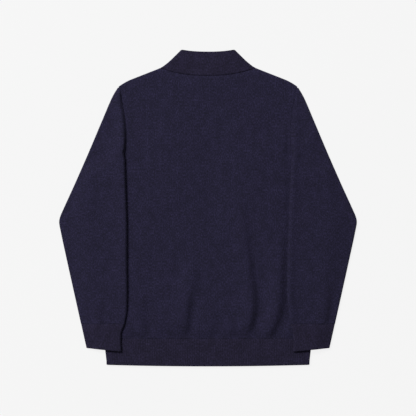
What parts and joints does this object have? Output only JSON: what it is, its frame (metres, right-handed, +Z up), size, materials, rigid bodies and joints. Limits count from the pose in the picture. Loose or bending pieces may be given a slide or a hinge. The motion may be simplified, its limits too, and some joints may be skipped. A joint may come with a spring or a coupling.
{
  "type": "quarter zip sweater",
  "caption": "Dark navy fine-knit quarter zip sweater laid flat back side up, sleeves folded over the sides, with stand collar, ribbed cuffs and ribbed hem.",
  "frame": {"origin": "on the surface the sweater lies on, under the middle of its outline", "axes": "+Y from the hem to the collar, +X to the right as the back is seen from above, +Z up from the surface"},
  "size_m": [0.6958, 0.743, 0.0148],
  "materials": {
    "knit": "fine vertical rib knit, melange, matt",
    "rib": "close rib knit, matt",
    "zip_tape": "woven tape, matt",
    "zip_metal": "satin metal"
  },
  "bodies": {
    "sweater": {"body_back": "knit", "body_front": "knit", "hem_rib_back": "rib", "hem_rib_front": "rib", "sleeve_right": "knit", "sleeve_left": "knit", "cuff_right": "rib", "cuff_left": "rib", "collar": "rib", "zip_tape_right": "zip_tape", "zip_tape_left": "zip_tape", "zip_chain": "zip_metal", "zip_bottom_stop": "zip_metal", "zip_slider": "zip_metal"},
    "pull_tab": {"zip_pull_tab": "zip_metal"}
  },
  "joints": [
    {"name": "pull_tab_hinge", "type": "hinge", "parent": "sweater", "child": "pull_tab", "pos_m": [0, 0.328, 0.00162], "axis": [1, 0, 0], "range_deg": [0, 165]}
  ]
}
